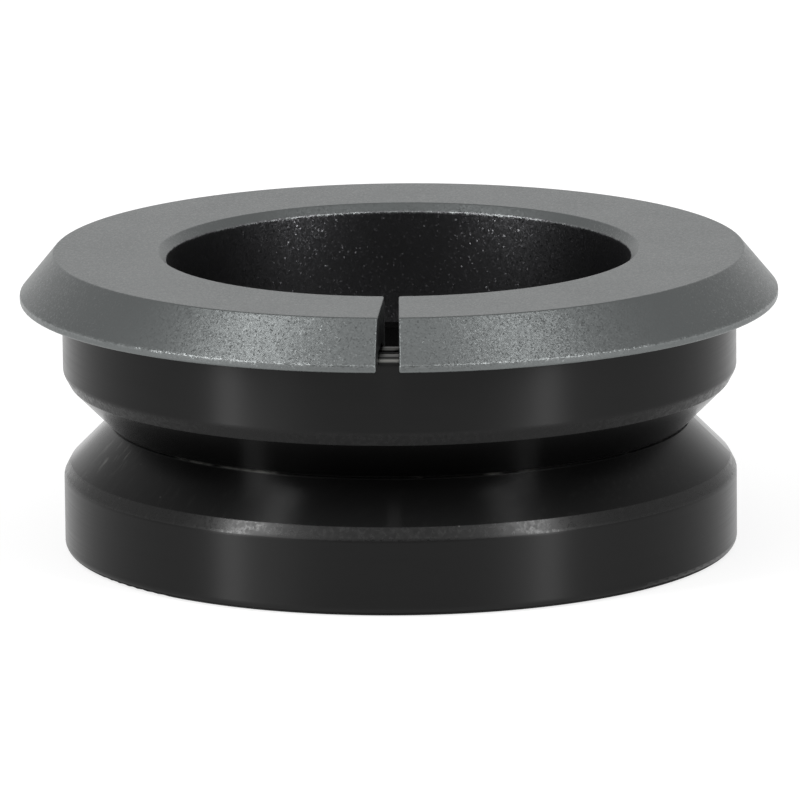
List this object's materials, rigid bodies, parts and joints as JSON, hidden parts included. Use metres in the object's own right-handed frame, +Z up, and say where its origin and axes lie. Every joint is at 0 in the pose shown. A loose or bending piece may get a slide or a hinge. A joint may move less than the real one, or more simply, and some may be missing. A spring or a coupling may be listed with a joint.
{
  "type": "bicycle headset",
  "caption": "Integrated threadless bicycle headset: a split top cap with a compression cone over stacked sealed angular contact bearings with bevelled races.",
  "frame": {"origin": "centre of the lower bearing's wide face, on which the headset stands", "axes": "+Z up along the steerer, from the lower bearing to the top cap; -Y towards the front, where the cap is split"},
  "size_m": [0.047, 0.047, 0.0186],
  "materials": {
    "blasted_aluminium": "bead blasted and anodised grey",
    "black_race_steel": "ground, black oxide",
    "ball_steel": "polished bearing steel",
    "cage_plastic": "moulded nylon",
    "seal_rubber": "moulded nitrile rubber"
  },
  "bodies": {
    "outer_races": {"upper_outer_race": "black_race_steel", "lower_outer_race": "black_race_steel", "upper_wide_seal": "seal_rubber", "upper_narrow_seal": "seal_rubber", "lower_wide_seal": "seal_rubber", "lower_narrow_seal": "seal_rubber"},
    "upper_inner": {"upper_inner_race": "black_race_steel", "top_cap": "blasted_aluminium"},
    "lower_inner": {"lower_inner_race": "black_race_steel"},
    "upper_ball_ring": {"upper_cage": "cage_plastic", "upper_ball_01": "ball_steel", "upper_ball_02": "ball_steel", "upper_ball_03": "ball_steel", "upper_ball_04": "ball_steel", "upper_ball_05": "ball_steel", "upper_ball_06": "ball_steel", "upper_ball_07": "ball_steel", "upper_ball_08": "ball_steel", "upper_ball_09": "ball_steel", "upper_ball_10": "ball_steel", "upper_ball_11": "ball_steel", "upper_ball_12": "ball_steel", "upper_ball_13": "ball_steel", "upper_ball_14": "ball_steel", "upper_ball_15": "ball_steel", "upper_ball_16": "ball_steel", "upper_ball_17": "ball_steel", "upper_ball_18": "ball_steel", "upper_ball_19": "ball_steel", "upper_ball_20": "ball_steel"},
    "lower_ball_ring": {"lower_cage": "cage_plastic", "lower_ball_01": "ball_steel", "lower_ball_02": "ball_steel", "lower_ball_03": "ball_steel", "lower_ball_04": "ball_steel", "lower_ball_05": "ball_steel", "lower_ball_06": "ball_steel", "lower_ball_07": "ball_steel", "lower_ball_08": "ball_steel", "lower_ball_09": "ball_steel", "lower_ball_10": "ball_steel", "lower_ball_11": "ball_steel", "lower_ball_12": "ball_steel", "lower_ball_13": "ball_steel", "lower_ball_14": "ball_steel", "lower_ball_15": "ball_steel", "lower_ball_16": "ball_steel", "lower_ball_17": "ball_steel", "lower_ball_18": "ball_steel", "lower_ball_19": "ball_steel", "lower_ball_20": "ball_steel"}
  },
  "joints": [
    {"name": "upper_spin", "type": "hinge", "parent": "outer_races", "child": "upper_inner", "pos_m": [0, 0, 0.0123], "axis": [0, 0, 1], "continuous": true},
    {"name": "upper_cage_orbit", "type": "hinge", "parent": "outer_races", "child": "upper_ball_ring", "pos_m": [0, 0, 0.0123], "axis": [0, 0, 1], "continuous": true},
    {"name": "lower_spin", "type": "hinge", "parent": "outer_races", "child": "lower_inner", "pos_m": [0, 0, 0.0037], "axis": [0, 0, 1], "continuous": true},
    {"name": "lower_cage_orbit", "type": "hinge", "parent": "outer_races", "child": "lower_ball_ring", "pos_m": [0, 0, 0.0037], "axis": [0, 0, 1], "continuous": true}
  ],
  "couplings": [
    {"joint": "upper_cage_orbit", "follows": "upper_spin", "ratio": 0.46882},
    {"joint": "lower_cage_orbit", "follows": "lower_spin", "ratio": 0.46882}
  ]
}
